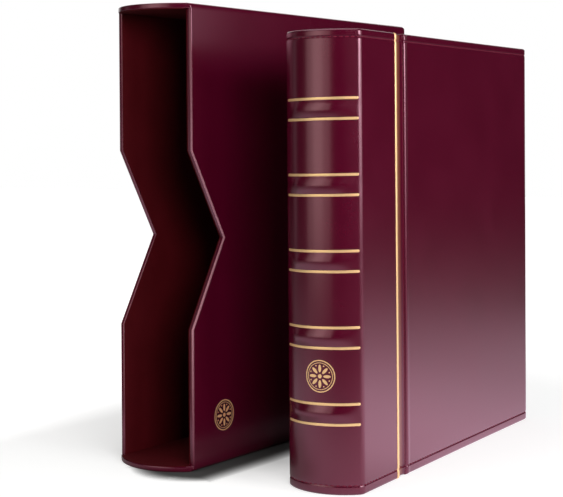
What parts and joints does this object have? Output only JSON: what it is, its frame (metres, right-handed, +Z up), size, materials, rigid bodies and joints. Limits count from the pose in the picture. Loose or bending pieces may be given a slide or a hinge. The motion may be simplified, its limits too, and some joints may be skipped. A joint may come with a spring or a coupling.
{
  "type": "ring-bound stamp album with slipcase",
  "caption": "Burgundy leather ring album for stamps, with a rounded spine, raised bands between gilt lines and hinged covers, standing beside its open slipcase.",
  "frame": {"origin": "on the surface the album stands on, midway between the spine's two ridges, where the rounded spine begins", "axes": "+Z up along the spine, +X from the spine to the fore-edge, -Y out of the front cover"},
  "size_m": [0.32, 0.2125, 0.345],
  "materials": {
    "leather": "satin",
    "case_leather": "satin",
    "board": "matte",
    "endpaper": "matte",
    "case_lining": "matte",
    "gilt": "satin",
    "plated_steel": "bright",
    "plain_steel": "satin",
    "leaf_card": "matte",
    "pocket_film": "clear"
  },
  "bodies": {
    "back_cover": {"back_cover_board": "board", "back_cover_leather": "leather", "back_endpaper": "endpaper"},
    "spine_box": {"spine_leather": "leather", "spine_bands": "board", "spine_core": "board", "spine_lining": "endpaper", "front_strip_board": "board", "back_strip_board": "board", "spine_gilt_lines": "gilt", "front_groove_gilt_line": "gilt", "back_groove_gilt_line": "gilt", "front_hinge_leather": "leather", "back_hinge_leather": "leather", "ring_housing": "plated_steel", "housing_rivets": "plain_steel", "lever_pins": "plain_steel"},
    "front_cover": {"front_cover_board": "board", "front_cover_leather": "leather", "front_endpaper": "endpaper"},
    "ring_front": {"ring_halves_front": "plated_steel", "ring_blade_front": "plain_steel"},
    "ring_back": {"ring_halves_back": "plated_steel", "ring_blade_back": "plain_steel"},
    "top_lever": {"top_lever": "plated_steel"},
    "bottom_lever": {"bottom_lever": "plated_steel"},
    "slipcase": {"slipcase_near_side": "case_leather", "slipcase_far_side": "case_leather", "slipcase_base": "case_leather", "slipcase_top": "case_leather", "slipcase_back": "case_leather", "slipcase_lining": "case_lining"},
    "leaf_01": {"leaf_01": "leaf_card", "leaf_01_pockets": "pocket_film"},
    "leaf_02": {"leaf_02": "leaf_card", "leaf_02_pockets": "pocket_film"},
    "leaf_03": {"leaf_03": "leaf_card", "leaf_03_pockets": "pocket_film"},
    "leaf_04": {"leaf_04": "leaf_card", "leaf_04_pockets": "pocket_film"},
    "leaf_05": {"leaf_05": "leaf_card", "leaf_05_pockets": "pocket_film"},
    "leaf_06": {"leaf_06": "leaf_card", "leaf_06_pockets": "pocket_film"},
    "leaf_07": {"leaf_07": "leaf_card", "leaf_07_pockets": "pocket_film"},
    "leaf_08": {"leaf_08": "leaf_card", "leaf_08_pockets": "pocket_film"}
  },
  "joints": [
    {"name": "back_hinge", "type": "hinge", "parent": "back_cover", "child": "spine_box", "pos_m": [0.05945, 0.028, 0], "axis": [0, 0, -1], "range_deg": [0, 100], "deforming": ["back_hinge_leather"]},
    {"name": "front_hinge", "type": "hinge", "parent": "spine_box", "child": "front_cover", "pos_m": [0.05945, -0.028, 0], "axis": [0, 0, -1], "range_deg": [0, 100], "deforming": ["front_hinge_leather"]},
    {"name": "ring_open", "type": "hinge", "parent": "spine_box", "child": "ring_front", "pos_m": [0.0071, -0.0136, 0], "axis": [0, 0, -1], "range_deg": [0, 6]},
    {"name": "ring_open_back", "type": "hinge", "parent": "spine_box", "child": "ring_back", "pos_m": [0.0071, 0.0136, 0], "axis": [0, 0, 1], "range_deg": [0, 6]},
    {"name": "top_lever_turn", "type": "hinge", "parent": "spine_box", "child": "top_lever", "pos_m": [0.006, 0, 0.294], "axis": [0, -1, 0], "range_deg": [0, 35.5]},
    {"name": "bottom_lever_turn", "type": "hinge", "parent": "spine_box", "child": "bottom_lever", "pos_m": [0.006, 0, 0.026], "axis": [0, 1, 0], "range_deg": [0, 35.5]},
    {"name": "case_slide", "type": "slide", "parent": "back_cover", "child": "slipcase", "axis": [0.9969, -0.0785, 0], "range_m": [0, 0.3]},
    {"name": "leaf_01_turn", "type": "hinge", "parent": "spine_box", "child": "leaf_01", "pos_m": [0.035, 0, 0], "axis": [0, 0, -1], "range_deg": [0, 34.5]},
    {"name": "leaf_02_turn", "type": "hinge", "parent": "spine_box", "child": "leaf_02", "pos_m": [0.035, 0, 0], "axis": [0, 0, -1], "range_deg": [0, 26]},
    {"name": "leaf_03_turn", "type": "hinge", "parent": "spine_box", "child": "leaf_03", "pos_m": [0.035, 0, 0], "axis": [0, 0, -1], "range_deg": [0, 17.5]},
    {"name": "leaf_04_turn", "type": "hinge", "parent": "spine_box", "child": "leaf_04", "pos_m": [0.035, 0, 0], "axis": [0, 0, -1], "range_deg": [0, 9]},
    {"name": "leaf_05_turn", "type": "hinge", "parent": "spine_box", "child": "leaf_05", "pos_m": [0.035, 0, 0], "axis": [0, 0, 1], "range_deg": [0, 9]},
    {"name": "leaf_06_turn", "type": "hinge", "parent": "spine_box", "child": "leaf_06", "pos_m": [0.035, 0, 0], "axis": [0, 0, 1], "range_deg": [0, 17.5]},
    {"name": "leaf_07_turn", "type": "hinge", "parent": "spine_box", "child": "leaf_07", "pos_m": [0.035, 0, 0], "axis": [0, 0, 1], "range_deg": [0, 26]},
    {"name": "leaf_08_turn", "type": "hinge", "parent": "spine_box", "child": "leaf_08", "pos_m": [0.035, 0, 0], "axis": [0, 0, 1], "range_deg": [0, 34.5]}
  ],
  "couplings": [
    {"joint": "ring_open_back", "follows": "ring_open", "ratio": 1},
    {"joint": "top_lever_turn", "follows": "ring_open", "ratio": 5.8333},
    {"joint": "bottom_lever_turn", "follows": "ring_open", "ratio": 5.8333},
    {"joint": "leaf_01_turn", "follows": "front_hinge", "ratio": 0.34},
    {"joint": "leaf_02_turn", "follows": "front_hinge", "ratio": 0.255},
    {"joint": "leaf_03_turn", "follows": "front_hinge", "ratio": 0.17},
    {"joint": "leaf_04_turn", "follows": "front_hinge", "ratio": 0.085},
    {"joint": "leaf_05_turn", "follows": "back_hinge", "ratio": 0.085},
    {"joint": "leaf_06_turn", "follows": "back_hinge", "ratio": 0.17},
    {"joint": "leaf_07_turn", "follows": "back_hinge", "ratio": 0.255},
    {"joint": "leaf_08_turn", "follows": "back_hinge", "ratio": 0.34}
  ]
}
